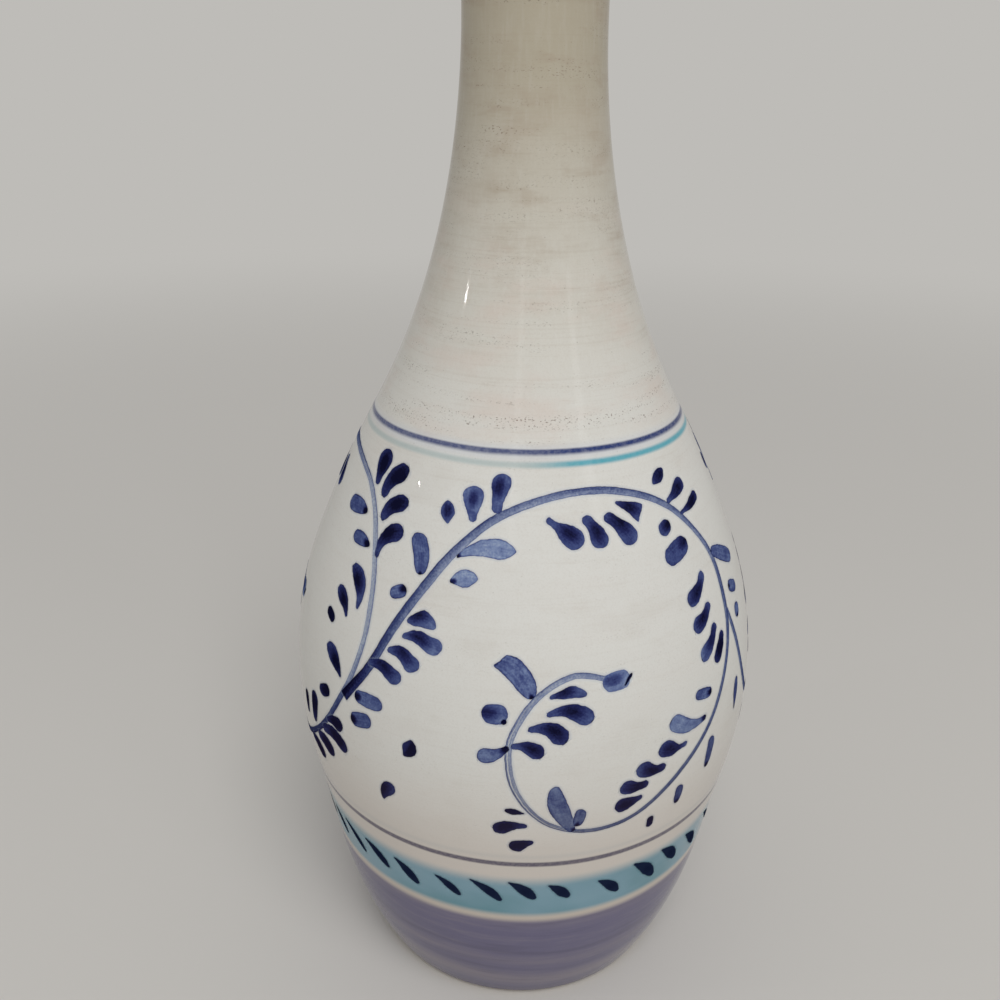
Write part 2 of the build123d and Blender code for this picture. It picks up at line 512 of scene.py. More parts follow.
def slip_ground(finish, colours, place, height):
    """Colour of the brushed slip: thick on the belly, thin up the neck, with patches, lines and flecks, and
    painted shade that darkens the neck towards the top.
    """
    clouds = finish.noise(place, (26, 26, 42), 3)
    patches = finish.noise(place, (40, 40, 75), 4, 0.6)
    brushing = finish.noise(place, (60, 60, 900), 4, 0.65)
    weave = finish.noise(place, (900, 900, 130), 2)
    grain = finish.noise(place, (2000, 2000, 2000), 2)
    level = height + clouds * 30 - 15
    slip = finish.mix(finish.step(level, *SLIP_THINS), colours.slip_white, colours.shoulder_slip)
    # Up the neck the slip turns darker and more beige: partly thinner slip, partly painted shade
    slip = finish.mix(finish.step(level, *SLIP_TURNS_BEIGE), slip, colours.neck_slip_and_shade)
    on_neck = finish.step(height, *NECK_STARTS)
    on_shoulder = finish.band(height, *SHOULDER, 14)
    bare = finish.step(patches, 0.48, 0.72)
    lines = finish.step(brushing * 0.7 + patches * 0.3, 0.52, 0.7)
    turning = finish.step(finish.noise(place, (9, 9, 1300), 3, 0.6), 0.5, 0.68)
    slip = finish.mix(bare * (0.08 + on_neck * 0.32), slip, colours.bare_streak)
    slip = finish.mix(turning * (0.03 + on_shoulder * 0.06 + on_neck * 0.05), slip, colours.bare_streak)
    slip = finish.mix(lines * (0.08 + on_neck * 0.14 + on_shoulder * 0.1), slip, colours.bare_streak)
    rose = finish.step(finish.noise(place, (30, 30, 90), 4, 0.6), 0.47, 0.7)
    slip = finish.mix(rose * (0.05 + on_shoulder * 0.34), slip, colours.rose_streak)
    # Painted shade and dark reflections: darker brownish patches at random up the neck
    neck_shade_patches = finish.step(finish.noise(place, (70, 70, 190), 3, 0.6), 0.54, 0.74) * on_neck
    slip = finish.mix(neck_shade_patches * 0.4, slip, colours.bare_streak)
    slip = finish.mix(finish.step(weave, 0.45, 0.75) * (0.16 - on_neck * 0.09), slip, colours.slip_white)
    slip = finish.mix(finish.step(grain, 0.4, 0.8) * 0.1, slip, colours.bare_streak)
    rows = finish.step(finish.noise(place, (18, 18, 480), 2), 0.44, 0.6)
    clusters = finish.step(finish.noise(place, (45, 45, 80), 2), 0.38, 0.62)
    clusters = clusters.larger(finish.band(height, *FLECK_ROWS, 4) * 0.8)
    flecks = finish.step(finish.noise(place, (1500, 1500, 2800), 2), 0.58, 0.7) * rows * clusters
    dusted = (finish.band(height, *THICK_DUST, 6) * 1.1 + finish.band(height, *THIN_DUST, 8) * 0.35
              + on_neck * 0.6 + 0.2)
    strewn = finish.specks(place, 520, 0.28, 0.1) * (0.3 + on_shoulder * 0.3)
    return finish.mix((flecks * dusted).larger(strewn) * 0.75, slip, colours.fleck)


def violet_base(finish, colours, place, height):
    """The wash around the base, laid in turns of a wide brush that overlap here and there, with a painted
    shadow that darkens it at the foot.
    """
    slow = finish.noise(place, (9, 9, 9), 2)
    wander = height + (slow - 0.5) * 12
    brushing = finish.noise(place, (40, 40, 400), 4, 0.65)
    pale = finish.step(wander, *BASE_PALE_TOP) * 0.35
    pale = pale.larger(finish.band(wander, *BASE_PALE_MIDDLE, 3) * 0.45)
    pale = pale.larger(finish.band(wander, *BASE_PALE_FOOT, 3.5) * 0.8)
    colour = finish.mix(pale, colours.violet, colours.lilac)
    upper_lap = finish.band(wander, *BASE_UPPER_LAP, 1.2) * (0.4 + finish.step(slow, 0.4, 0.55) * 0.6)
    lower_lap = finish.band(wander, *BASE_LOWER_LAP, 1) * (0.4 + finish.step(slow, 0.6, 0.45) * 0.6)
    colour = finish.mix(upper_lap.larger(lower_lap) * 0.5, colour, colours.violet_lap_and_shadow)
    # Painted shadow: the wash darkens towards the foot
    colour = finish.mix(finish.step(height, *BASE_FOOT_SHADOW) * 0.6, colour, colours.violet_lap_and_shadow)
    colour = finish.mix(finish.step(brushing, 0.5, 0.25) * 0.4, colour, colours.violet_lap_and_shadow)
    return finish.mix(finish.step(brushing, 0.48, 0.75) * 0.4, colour, colours.lilac)


def painted_bands(finish, colours, place, ground):
    """The ground with the lines and bands that were painted while the vase turned on the wheel."""
    across, _, level = finish.axes(place)
    waver = finish.noise(place, (16, 16, 16), 2) - 0.5
    height = level / MM + waver * 1.4
    grain = finish.noise(place, (900, 900, 1200), 3, 0.7)
    slow = finish.noise(place, (22, 22, 40), 3)
    right = finish.step(across, *STRONG_SIDE)
    shoulder_turquoise = (finish.band(height, *TURQUOISE_LINE, 0.5) * (0.48 + right * 0.44)
                          * (0.8 + grain * 0.3))
    line = finish.mix(right, colours.faint_line, colours.turquoise_line)
    colour = finish.mix(shoulder_turquoise, ground, line)
    halo = finish.band(height, *COBALT_HALO, 1.2) * 0.25
    colour = finish.mix(halo, colour, colours.cobalt_bleed)
    pepper = finish.step(grain, 0.36, 0.6)
    shoulder_cobalt = (finish.step(height, *COBALT_UPPER_EDGE) * finish.step(height, *COBALT_LOWER_EDGE)
                       * (0.78 + pepper * 0.12 + right * 0.1))
    colour = finish.mix(shoulder_cobalt, colour, colours.line_blue)
    faint_turquoise = finish.band(height, *FAINT_TURQUOISE, 1) * 0.26
    colour = finish.mix(faint_turquoise, colour, colours.turquoise)
    colour = finish.mix(finish.step(height, *WARM_GROUND) * 0.75, colour, colours.warm_slip)
    lower_line = finish.band(height, *LOWER_LINE, 0.45) * (0.8 + pepper * 0.12)
    colour = finish.mix(lower_line, colour, colours.violet_line)
    edging = finish.band(height, *BARE_EDGE, 3) * 0.95
    colour = finish.mix(edging, colour, colours.band_edge)
    wash = finish.mix(finish.step(slow, 0.42, 0.66), colours.turquoise, colours.turquoise_green)
    turquoise_band = (finish.step(height, *BAND_LOWER_EDGE) * finish.step(height, *BAND_UPPER_EDGE)
                      * (0.7 + slow * 0.4).smaller(1))
    colour = finish.mix(turquoise_band, colour, wash)
    base = finish.step(height, *BASE_UPPER_EDGE) * 0.97
    return finish.mix(base, colour, violet_base(finish, colours, place, height))


def painted_glaze_finish(colours):
    """Glossy glaze over the slip, the lines and the bands."""
    def varying(finish):
        place = finish.object_place()
        height = finish.axes(place)[2] / MM
        ground = slip_ground(finish, colours, place, height)
        return {"Base Color": painted_bands(finish, colours, place, ground), **glaze_gloss(finish, place)}
    return new_finish("painted_glaze", CLEAR_GLAZE, varying)


# How a kind of stroke looks: how much its rim, its pool, the marks of the hairs, the grain, the mottling
# and its left side add to its depth, how sharp the pool is, how uneven and soft its outline is and how
# strongly it bleeds
BrushLook = namedtuple("BrushLook", "rim pool hairs grain mottle slant pool_outside pool_inside uneven "
                                    "soft bleed")
DARK_LOOK = BrushLook(
    rim=0.06, pool=0.38, hairs=0.24, grain=0.3, mottle=0.5, slant=0, pool_outside=1.8, pool_inside=0.1,
    uneven=0.68, soft=0.1, bleed=0.2)
PALE_LOOK = BrushLook(
    rim=0.2, pool=0.6, hairs=0.3, grain=0.34, mottle=0.44, slant=0, pool_outside=1.2, pool_inside=0.3,
    uneven=0.5, soft=0.1, bleed=0.2)
STEM_LOOK = BrushLook(
    rim=0.12, pool=0, hairs=0.3, grain=0.46, mottle=0.2, slant=0.12, pool_outside=1.2, pool_inside=0.4,
    uneven=0.3, soft=0.12, bleed=0.2)
DASH_LOOK = BrushLook(
    rim=-0.1, pool=0.2, hairs=0.14, grain=0.12, mottle=0.2, slant=0, pool_outside=1.4, pool_inside=0.4,
    uneven=0.5, soft=0.3, bleed=0.2)

# Along and across a stroke: how the marks of the hairs and the pool are stretched, and how far the hairs
# of one stroke are from those of the next. The share is how much of the painted reflection tint the low
# strokes take.
HAIR_STRETCH = (0.09, 1.7, 0)
HAIR_SHIFT = (0, 0, 3.7)
POOL_STRETCH = (0.62, 1, 0)
REFLECTION_TINT_SHARE = 0.45


def stroke_edge(finish, brush, ends):
    """Millimetres outside the outline of a stroke, negative inside it, with each end rounded by a radius."""
    along, side, half = finish.axes(brush)
    length, tip_round, head_round = finish.axes(ends)
    corner = tip_round + (head_round - tip_round) * along.above(length * 0.5)
    across = side.larger(0 - side) - half + corner
    beyond = (0 - along).larger(along - length) + corner
    outside = finish.vector("MAXIMUM", finish.node("ShaderNodeCombineXYZ", {}, {0: across, 1: beyond}))
    inside = across.larger(beyond).smaller(0)
    return finish.vector("LENGTH", outside, output="Value") + inside - corner


def pool_mask(finish, brush, pool, uneven, look):
    """1 in the middle of a stroke's pool, falling to 0 around it; the pool is longer than it is wide."""
    radius = finish.axes(pool)[2]
    apart = finish.vector("MULTIPLY", finish.vector("SUBTRACT", brush, pool), POOL_STRETCH)
    reach = finish.vector("LENGTH", apart, output="Value") / radius
    return finish.step(reach + uneven, look.pool_outside, look.pool_inside)


def brushed_finish(name, stops, look, painted_reflection_tint):
    """Brushed pigment without a mirror reflection, with its depth from the stroke's own shape; strokes low on
    the belly take a painted reflection tint.
    """
    def varying(finish):
        place = finish.object_place()
        brush = finish.attribute("brush")
        pigment = finish.attribute("pigment")
        side = finish.axes(brush)[1]
        shade, dry, _ = finish.axes(pigment)
        edge = stroke_edge(finish, brush, finish.attribute("ends"))
        combed = finish.vector("ADD", finish.vector("MULTIPLY", brush, HAIR_STRETCH),
                               finish.vector("MULTIPLY", pigment, HAIR_SHIFT))
        hairs = finish.noise(combed, (1, 1, 1), 3) - 0.5
        wander = finish.noise(place, (430, 430, 430), 2) - 0.5
        grain = finish.noise(place, (1700, 1700, 1700), 2) - 0.5
        mottle = finish.noise(place, (320, 320, 320), 3) - 0.5
        outline = edge + wander * look.uneven + grain * 0.2
        cover = finish.step(outline, look.soft, -look.soft)
        gap = (finish.band(side + wander * 0.5, 0.1, 0.36, 0.16) * dry
               * finish.step(hairs + mottle, -0.45, -0.1))
        rim = finish.step(outline, -0.45, -0.1)
        pooled = pool_mask(finish, brush, finish.attribute("pool"), mottle * 1.1, look)
        depth = (shade + pooled * look.pool + rim * look.rim + hairs * look.hairs + grain * look.grain
                 + mottle * look.mottle + side * look.slant - gap * 0.3 - finish.step(outline, -0.05, 0.3))
        colour = finish.node("ShaderNodeValToRGB", {"stops": stops}, {0: depth})
        # Painted reflection: low on the belly the strokes take a dark tint, standing in for a dark surface
        # below
        low = finish.step(finish.axes(place)[2] / MM, *REFLECTION_TINT_HEIGHTS) * REFLECTION_TINT_SHARE * cover
        colour = finish.mix(low, colour, painted_reflection_tint)
        opacity = 0.78 + finish.step(depth, 0.2, 0.6) * 0.21
        bled = finish.step(edge, 0.95, 0.05) * look.bleed
        alpha = (cover * opacity * (1 - gap * 0.7) * (1 - dry * 0.12)).larger(bled)
        return {"Base Color": colour, "Alpha": alpha, **glaze_gloss(finish, place)}
    return new_finish(name, PIGMENT_GLAZE, varying)


def cobalt_finish(name, look, colours):
    """Cobalt from a pale wash to a near-black pool."""
    stops = [(0, colours.cobalt_bleed), (0.12, colours.cobalt_pale), (0.32, colours.cobalt_wash),
             (0.52, colours.cobalt_mid), (0.76, colours.cobalt_deep), (1, colours.cobalt_pool)]
    return brushed_finish(name, stops, look, colours.painted_reflection_tint)


def stem_finish(colours):
    """Thinner, greyer cobalt for the stems."""
    stops = [(0, colours.cobalt_bleed), (0.12, colours.stem_pale), (0.32, colours.stem_wash),
             (0.52, colours.stem_mid), (0.76, colours.cobalt_deep), (1, colours.cobalt_pool)]
    return brushed_finish("stem_cobalt", stops, STEM_LOOK, colours.painted_reflection_tint)


def dash_finish(colours):
    """The ink of the dashes on the turquoise band."""
    stops = [(0.1, colours.turquoise_green), (0.55, colours.dash_ink), (1, colours.cobalt_pool)]
    return brushed_finish("dash_ink", stops, DASH_LOOK, colours.dash_ink)


def liner_finish(colours):
    """Cream glaze inside, with a soft pooling ripple."""
    def varying(finish):
        place = finish.object_place()
        clouds = finish.noise(place, (40, 40, 60), 3)
        colour = finish.mix(clouds * 0.5, colours.liner, colours.neck_slip_and_shade)
        return {"Base Color": colour, **glaze_gloss(finish, place)}
    return new_finish("liner_glaze", CLEAR_GLAZE, varying)


def clay_finish(name, colour, grain_colour):
    """Matt fired clay with grog, iron specks and turning lines."""
    def varying(finish):
        place = finish.object_place()
        grog = finish.noise(place, (900, 900, 900), 4, 0.65)
        turning = finish.noise(place, (40, 40, 500), 3)
        clouds = finish.noise(place, (30, 30, 30), 2)
        tone = finish.mix(clouds * 0.4 + turning * 0.25, colour, grain_colour)
        specks = finish.step(grog, 0.62, 0.7)
        normal = finish.bump(grog, GROG_DEPTH)
        return {"Base Color": finish.mix(specks * 0.5, tone, grain_colour), "Normal": normal,
                "Roughness": 0.72 + clouds * 0.2}
    return new_finish(name, {}, varying)


# Mesh helpers

MERGE_DISTANCE = 0.001 * MM

# Shares of the bake picture: the outside of a thrown wall, and the edge around the cell of a pad of pigment
OUTER_SHARE = 0.93
CELL_EDGE_ALONG = 0.04
CELL_EDGE_ACROSS = 0.06


def new_piece(context, bm, name, material, replaced=()):
    """Turns a finished bmesh into a smooth piece of the vase that rides on its body."""
    for face in bm.faces:
        face.smooth = True
    for edge in bm.edges:
        edge.smooth = edge.calc_face_angle(0) < CREASE
    mesh = bpy.data.meshes.new(name)
    bm.to_mesh(mesh)
    bm.free()
    mesh.materials.append(material)
    piece = bpy.data.objects.new(name, mesh)
    context.scene.collection.objects.link(piece)
    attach(piece, BODY)
    if replaced:
        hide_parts(*replaced)
    return piece


def thrown(outline, steps):
    """Closed shell that an outline of radius and height makes when it turns once about the axis."""
    bm = bmesh.new()
    verts = [bm.verts.new((point.x, 0, point.y)) for point in outline]
    edges = [bm.edges.new(pair) for pair in zip(verts, verts[1:] + verts[:1])]
    bmesh.ops.spin(bm, geom=verts + edges, cent=(0, 0, 0), axis=(0, 0, 1), angle=tau, steps=steps,
                   use_merge=True)
    bmesh.ops.remove_doubles(bm, verts=bm.verts, dist=MERGE_DISTANCE)
    bmesh.ops.recalc_face_normals(bm, faces=bm.faces)
    return bm


def unroll(bm, height):
    """Bake layout of a thrown wall: around it across the picture, and its two sides above each other."""
    layer = bm.loops.layers.uv.new("OFBake")
    for face in bm.faces:
        middle = face.calc_center_median()
        centre_turn = atan2(middle.x, -middle.y)
        outside = face.normal.dot(Vector((middle.x, middle.y, 0))) > 0
        for loop in face.loops:
            spot = loop.vert.co
            turn = atan2(spot.x, -spot.y) - centre_turn
            turn = centre_turn + (turn + pi) % tau - pi
            rise = spot.z / height
            level = rise * OUTER_SHARE if outside else OUTER_SHARE + rise * (1 - OUTER_SHARE)
            loop[layer].uv = (turn / tau + 0.5, level)


# Brushwork

# Outlines of the strokes: a share of the length from the tip, and the shares of half the width on both sides,
# left first
OUTLINES = {
    "comma": [
        (0, 0.3, 0.3), (0.15, 0.4, 0.38), (0.35, 0.64, 0.58), (0.55, 0.9, 0.86), (0.75, 1, 1),
        (1, 0.96, 0.98),
    ],
    "banana": [(0, 0.5, 0.5), (0.15, 0.66, 0.62), (0.4, 0.94, 0.86), (0.65, 1, 1), (1, 0.9, 0.9)],
    "club": [
        (0, 0.3, 0.3), (0.1, 0.32, 0.3), (0.24, 0.32, 0.26), (0.38, 0.62, 0.5), (0.55, 0.96, 0.92),
        (0.76, 1, 1), (1, 0.94, 0.98),
    ],
    "pear": [
        (0, 0.5, 0.5), (0.15, 0.58, 0.56), (0.32, 0.62, 0.5), (0.5, 0.84, 0.7), (0.7, 1, 0.98),
        (1, 0.98, 1),
    ],
    "drop": [
        (0, 0.28, 0.28), (0.2, 0.46, 0.42), (0.4, 0.74, 0.68), (0.6, 1, 0.98), (0.8, 1, 1), (1, 0.9, 0.9),
    ],
    "hump": [
        (0, 0.25, 0.25), (0.2, 0.7, 0.36), (0.42, 1.2, 0.4), (0.6, 1.5, 0.42), (0.76, 1.16, 0.46),
        (0.92, 0.62, 0.46), (1, 0.3, 0.4),
    ],
    "wave": [
        (0, 0.25, 0.25), (0.15, 0.6, 0.3), (0.35, 1, 0.4), (0.52, 1, 0.74), (0.68, 0.74, 1.04),
        (0.86, 0.9, 0.98), (1, 0.8, 0.8),
    ],
    "spindle": [
        (0, 0.16, 0.16), (0.2, 0.52, 0.42), (0.45, 0.92, 0.82), (0.65, 1, 1), (0.84, 0.84, 0.84),
        (1, 0.45, 0.45),
    ],
    "almond": [
        (0, 0.12, 0.12), (0.2, 0.62, 0.6), (0.45, 1, 1), (0.7, 0.9, 0.9), (0.9, 0.5, 0.5),
        (1, 0.12, 0.12),
    ],
    "leaf": [
        (0, 0.14, 0.14), (0.15, 0.46, 0.26), (0.4, 0.86, 0.6), (0.66, 1, 0.94), (0.82, 0.86, 1),
        (0.93, 0.5, 0.66), (1, 0.06, 0.06),
    ],
    "bulb": [
        (0, 0.2, 0.2), (0.15, 0.6, 0.58), (0.4, 0.95, 0.93), (0.65, 1, 1), (0.85, 0.92, 0.94),
        (1, 0.7, 0.72),
    ],
    "oval": [
        (0, 0.7, 0.7), (0.15, 0.86, 0.84), (0.35, 0.98, 0.96), (0.55, 1, 1), (0.8, 0.92, 0.94),
        (1, 0.72, 0.72),
    ],
    "bar": [
        (0, 0.3, 0.3), (0.1, 0.56, 0.66), (0.25, 0.76, 0.96), (0.5, 0.88, 1.04), (0.75, 0.94, 1),
        (0.9, 1, 0.8), (1, 1.05, 0.36),
    ],
    "stub": [
        (0, 0.36, 0.4), (0.12, 0.66, 0.72), (0.3, 0.84, 0.94), (0.6, 0.96, 1), (0.84, 1, 0.9),
        (1, 0.9, 0.4),
    ],
    "half_moon": [
        (0, 0.24, 0.24), (0.14, 0.62, 0.42), (0.4, 1.16, 0.5), (0.65, 1.3, 0.44), (0.85, 1.04, 0.36),
        (0.96, 0.62, 0.3), (1, 0.36, 0.2),
    ],
    "wedge": [
        (0, 0.14, 0.14), (0.2, 0.4, 0.24), (0.45, 0.66, 0.4), (0.7, 0.88, 0.66), (0.9, 1, 0.92),
        (1, 1.02, 1),
    ],
    "square": [
        (0, 0.66, 0.6), (0.2, 0.95, 0.92), (0.5, 1, 1), (0.8, 0.98, 0.94), (0.92, 0.86, 0.8),
        (1, 0.7, 0.6),
    ],
    "dash": [
        (0, 0.14, 0.14), (0.2, 0.6, 0.54), (0.42, 0.96, 0.92), (0.6, 1, 1), (0.82, 0.76, 0.84),
        (1, 0.3, 0.36),
    ],
}
CHISELLED = ("bar", "wedge", "leaf")
CHISEL_ROUNDING = 0.4
STEM_ROUNDING = 0.6
NO_POOL = (0, 0, 1)

# Pads of pigment: how far each reaches past its stroke and starts under the glaze, how thick it is, and the
# steps by which neighbours differ so that no two faces lie in one another
PAD_MARGIN = 1.0 * MM
PAD_DEPTH = 0.2 * MM
LEAF_THICKNESS = 0.3 * MM
STEM_THICKNESS = 0.28 * MM
THICKNESS_STEP = 0.004 * MM
THICKNESS_STEPS = 5

# Rows along a pad, what it carries at each vertex, and how finely its path is smoothed, aimed and measured
STEM_ROW = 1.8 * MM
LEAF_ROWS = 11
LEAF_SHARES = [0.5 - cos(pi * row / LEAF_ROWS) / 2 for row in range(LEAF_ROWS + 1)]
BRUSH_LAYERS = ("brush", "ends", "pigment", "pool", "layout")
SOFTENING = 0.05
AIMING_STEP = 0.01
MEASURING_STEPS = 400

# A stroke from its tip to its head, in degrees around and millimetres of height and width. The bend is a
# share of its length, and the pool is placed by a share of the length and of half the width to the left,
# with its radius
Stroke = namedtuple("Stroke", "tip_around tip_height head_around head_height width bend outline shade "
                              "pool pool_side pool_radius watery")


def dark(tip_around, tip_height, head_around, head_height, width, bend=0.0,
         outline="comma", shade=0.6, pool=0.62, pool_side=0.0, pool_radius=2.0):
    """A full stroke of cobalt with a near-black pool in its head."""
    return Stroke(tip_around, tip_height, head_around, head_height, width, bend, outline, shade,
                  pool, pool_side, pool_radius, False)


def pale(tip_around, tip_height, head_around, head_height, width, bend=0.0,
         outline="leaf", shade=0.34, pool=0.04, pool_side=0.0, pool_radius=0.9):
    """A watery stroke with a small dark spot at one end, where the brush was lifted."""
    return Stroke(tip_around, tip_height, head_around, head_height, width, bend, outline, shade,
                  pool, pool_side, pool_radius, True)


LEFT_SPRAYS = [
    dark(-50.4, 178.0, -50.8, 187.6, 6.4, 0.0, "drop", 0.72, 0.6),
    dark(-45.6, 175.8, -38.4, 184.4, 5.6, 0.2, "banana", 0.72, 0.66, -0.2, 2.4),
    dark(-43.3, 170.4, -35.1, 176.4, 5.2, 0.2, "banana", 0.7, 0.62),
    dark(-41.2, 160.8, -34.2, 169.4, 5.4, 0.24, "comma", 0.68, 0.62, 0.2),
    pale(-50.1, 170.4, -60.8, 170.0, 5.2, -0.06, "bulb", 0.54, 0.06, 0.0, 1.3),
    pale(-44.8, 162.8, -52.8, 163.2, 4.2, -0.06, "bulb", 0.54, 0.1, 0.0, 1.4),
    dark(-43.4, 145.8, -48.9, 156.2, 5.4, -0.22, "spindle", 0.64, 0.64, 0.3),
    dark(-46.5, 142.3, -52.5, 148.4, 4.6, -0.14, "spindle", 0.64, 0.5),
    dark(-50.9, 138.7, -54.5, 141.3, 3.2, 0.0, "oval", 0.76),
    dark(-45.3, 124.3, -52.0, 131.4, 5.6, -0.1, "spindle", 0.68, 0.4),
    dark(-54.0, 114.8, -49.4, 117.6, 4.2, 0.0, "square", 0.72, 0.7),
    dark(-58.0, 100.4, -57.0, 112.0, 4.8, 0.0, "banana", 0.76),
    dark(-63.0, 100.0, -63.3, 108.0, 3.6, 0.0, "banana", 0.76),
    dark(-50.6, 106.8, -44.1, 107.9, 5.0, 0.1, "comma", 0.74),
    dark(-53.0, 101.6, -43.2, 100.0, 5.2, 0.2, "banana", 0.74),
    dark(-56.8, 96.4, -49.2, 94.2, 5.8, 0.16, "banana", 0.74),
    dark(-62.4, 91.8, -54.8, 89.0, 5.2, 0.1, "banana", 0.74),
]

STEM_LEAVES = [
    dark(-27.8, 148.3, -20.1, 148.8, 5.4, 0.0, "hump", 0.52, 0.36, 0.4, 1.7),
    dark(-28.3, 144.0, -18.1, 142.8, 5.2, 0.06, "wave", 0.5, 0.42, 0.1, 1.9),
    dark(-31.8, 139.0, -23.3, 136.0, 5.4, 0.1, "wave", 0.5, 0.46, 0.2, 2.1),
    dark(-36.4, 133.6, -27.2, 131.6, 5.2, 0.06, "wave", 0.56, 0.44, 0.2, 2.1),
    pale(-40.0, 121.8, -31.6, 122.4, 4.8, 0.0, "oval", 0.46, 0.04, 0.0, 1.6),
    pale(-41.0, 113.5, -34.6, 116.2, 5.0, 0.0, "oval", 0.5, 0.06, 0.0, 1.7),
    dark(-25.8, 109.4, -23.8, 115.2, 4.9, -0.1, "almond", 0.68, 0.5, -0.4),
    dark(-32.2, 90.2, -28.8, 97.2, 4.8, 0.1, "spindle", 0.64, 0.4, 0.5),
    pale(-26.6, 160.4, -29.6, 170.6, 5.4, -0.06, "stub", 0.48, 0.0, 0.0, 0.8),
    pale(-33.9, 153.4, -29.4, 156.0, 3.8, 0.0, "oval", 0.5, 0.9, 0.2, 1.3),
]

ARCH_LEAVES = [
    pale(-17.4, 166.6, -1.9, 169.2, 5.8, 0.1, "leaf", 0.32, 0.01, 0.0, 0.8),
    pale(-18.2, 160.4, -11.2, 162.0, 5.2, 0.06, "almond", 0.3, 0.08, -0.1, 0.9),
    dark(-21.4, 174.3, -22.6, 179.8, 4.4, 0.0, "almond", 0.54, 0.56, 0.0, 1.2),
    dark(-14.3, 175.6, -15.4, 184.2, 6.0, 0.0, "drop", 0.46, 0.64, 0.0, 1.2),
    dark(-8.0, 178.2, -6.7, 187.7, 5.3, 0.0, "pear", 0.52, 0.64, 0.2, 1.5),
    dark(6.0, 177.2, 15.6, 170.4, 5.9, 0.0, "club", 0.54, 0.6, 0.2, 1.9),
    dark(16.5, 177.2, 21.2, 169.1, 5.4, 0.06, "pear", 0.54, 0.55, 0.1, 1.9),
    dark(22.7, 177.0, 30.8, 169.0, 5.5, 0.05, "pear", 0.56, 0.42, 0.3, 2.3),
    dark(26.8, 179.6, 34.5, 175.6, 5.4, 0.0, "wedge", 0.6, 0.5, 0.0, 1.8),
    dark(41.6, 181.7, 47.8, 184.5, 3.9, 0.0, "almond", 0.62, 0.6, 0.0, 1.6),
    dark(45.4, 176.2, 55.2, 180.0, 4.5, -0.04, "comma", 0.6),
    dark(49.6, 172.1, 60.8, 174.8, 3.3, -0.06, "comma", 0.66),
    dark(44.0, 171.4, 39.6, 169.2, 4.4, 0.0, "oval", 0.6, 0.14, 0.0, 1.6),
    dark(48.8, 165.1, 39.4, 162.0, 6.1, 0.0, "oval", 0.58, 0.1, -0.2, 1.7),
]

RIGHT_LEAVES = [
    dark(51.6, 155.5, 43.7, 149.4, 5.2, 0.1, "pear", 0.58, 0.56),
    dark(51.4, 146.9, 43.9, 142.0, 5.2, 0.1, "pear", 0.58, 0.5),
    dark(52.1, 140.5, 45.2, 132.7, 5.2, 0.1, "pear", 0.5, 0.36, 0.0, 2.3),
    dark(54.9, 136.9, 50.6, 129.0, 4.2, 0.05, "banana", 0.7, 0.5),
    pale(48.3, 121.3, 42.4, 123.0, 3.7, 0.0, "oval", 0.5, 0.04, 0.0, 1.3),
    pale(46.2, 114.4, 34.8, 119.2, 5.5, 0.14, "comma", 0.36, 0.03, 0.0, 1.2),
    dark(39.8, 109.2, 31.8, 111.6, 5.6, 0.1, "club", 0.58, 0.56),
    dark(33.8, 104.5, 26.3, 107.6, 5.5, 0.12, "pear", 0.6, 0.42),
    dark(29.4, 100.7, 22.3, 102.2, 5.0, 0.08, "pear", 0.64, 0.4),
    dark(28.2, 96.3, 21.4, 94.6, 5.2, 0.0, "comma", 0.66, 0.6),
    pale(48.5, 94.6, 49.6, 105.4, 3.8, 0.0, "stub", 0.5, 0.02, 0.0, 1.2),
    pale(39.1, 87.1, 39.5, 94.1, 3.4, 0.0, "stub", 0.52, 0.02, 0.0, 1.2),
    dark(31.9, 82.2, 31.5, 86.7, 2.6, 0.0, "oval", 0.66),
]

RIGHT_SPRAYS = [
    pale(58.6, 158.6, 70.8, 151.2, 5.2, 0.04, "stub", 0.5, 0.0, 0.0, 0.6),
    pale(62.9, 146.2, 68.4, 143.8, 4.0, 0.0, "oval", 0.5),
    pale(65.4, 135.2, 65.8, 139.8, 4.0, 0.0, "oval", 0.46),
    pale(60.6, 107.0, 61.2, 118.0, 3.4, 0.0, "spindle", 0.54),
]

SCROLL_LEAVES = [
    pale(2.4, 132.3, -4.2, 142.9, 6.4, -0.06, "bar", 0.48, 0.0, 0.0, 0.9),
    dark(-8.3, 127.6, -2.6, 127.4, 6.0, 0.0, "square", 0.48, 0.2, 0.1, 1.7),
    dark(-4.0, 124.9, -3.0, 126.2, 1.6, 0.0, "oval", 0.72),
    pale(-2.4, 118.2, -9.0, 114.8, 4.9, 0.1, "comma", 0.44, 0.06, 0.0, 1.7),
    dark(-1.9, 118.4, 4.6, 115.2, 5.0, 0.16, "comma", 0.58, 0.66, 0.1, 1.7),
    dark(1.6, 123.3, 9.4, 119.1, 5.6, 0.22, "comma", 0.6, 0.62, 0.1, 2.0),
    dark(5.4, 127.5, 15.2, 124.6, 5.4, 0.18, "comma", 0.56, 0.52, 0.1, 2.0),
    dark(6.1, 132.6, 14.2, 132.9, 3.9, 0.0, "hump", 0.54, 0.4, 0.3, 1.6),
    dark(17.8, 134.7, 24.4, 135.4, 5.6, 0.0, "square", 0.36, 0.36, 0.2, 1.5),
    dark(23.0, 133.4, 24.8, 136.4, 1.1, 0.0, "spindle", 0.66),
    pale(12.0, 88.4, 7.7, 105.6, 6.6, 0.0, "half_moon", 0.42, 0.0, -0.2, 1.0),
    pale(12.8, 90.3, 13.8, 96.6, 3.6, 0.0, "stub", 0.44),
    dark(1.3, 96.2, -3.0, 97.3, 2.2, 0.0, "spindle", 0.68),
    dark(1.9, 91.3, -5.3, 89.2, 4.9, -0.12, "comma", 0.68),
    dark(3.4, 85.1, -1.7, 82.0, 5.2, -0.06, "comma", 0.7),
]

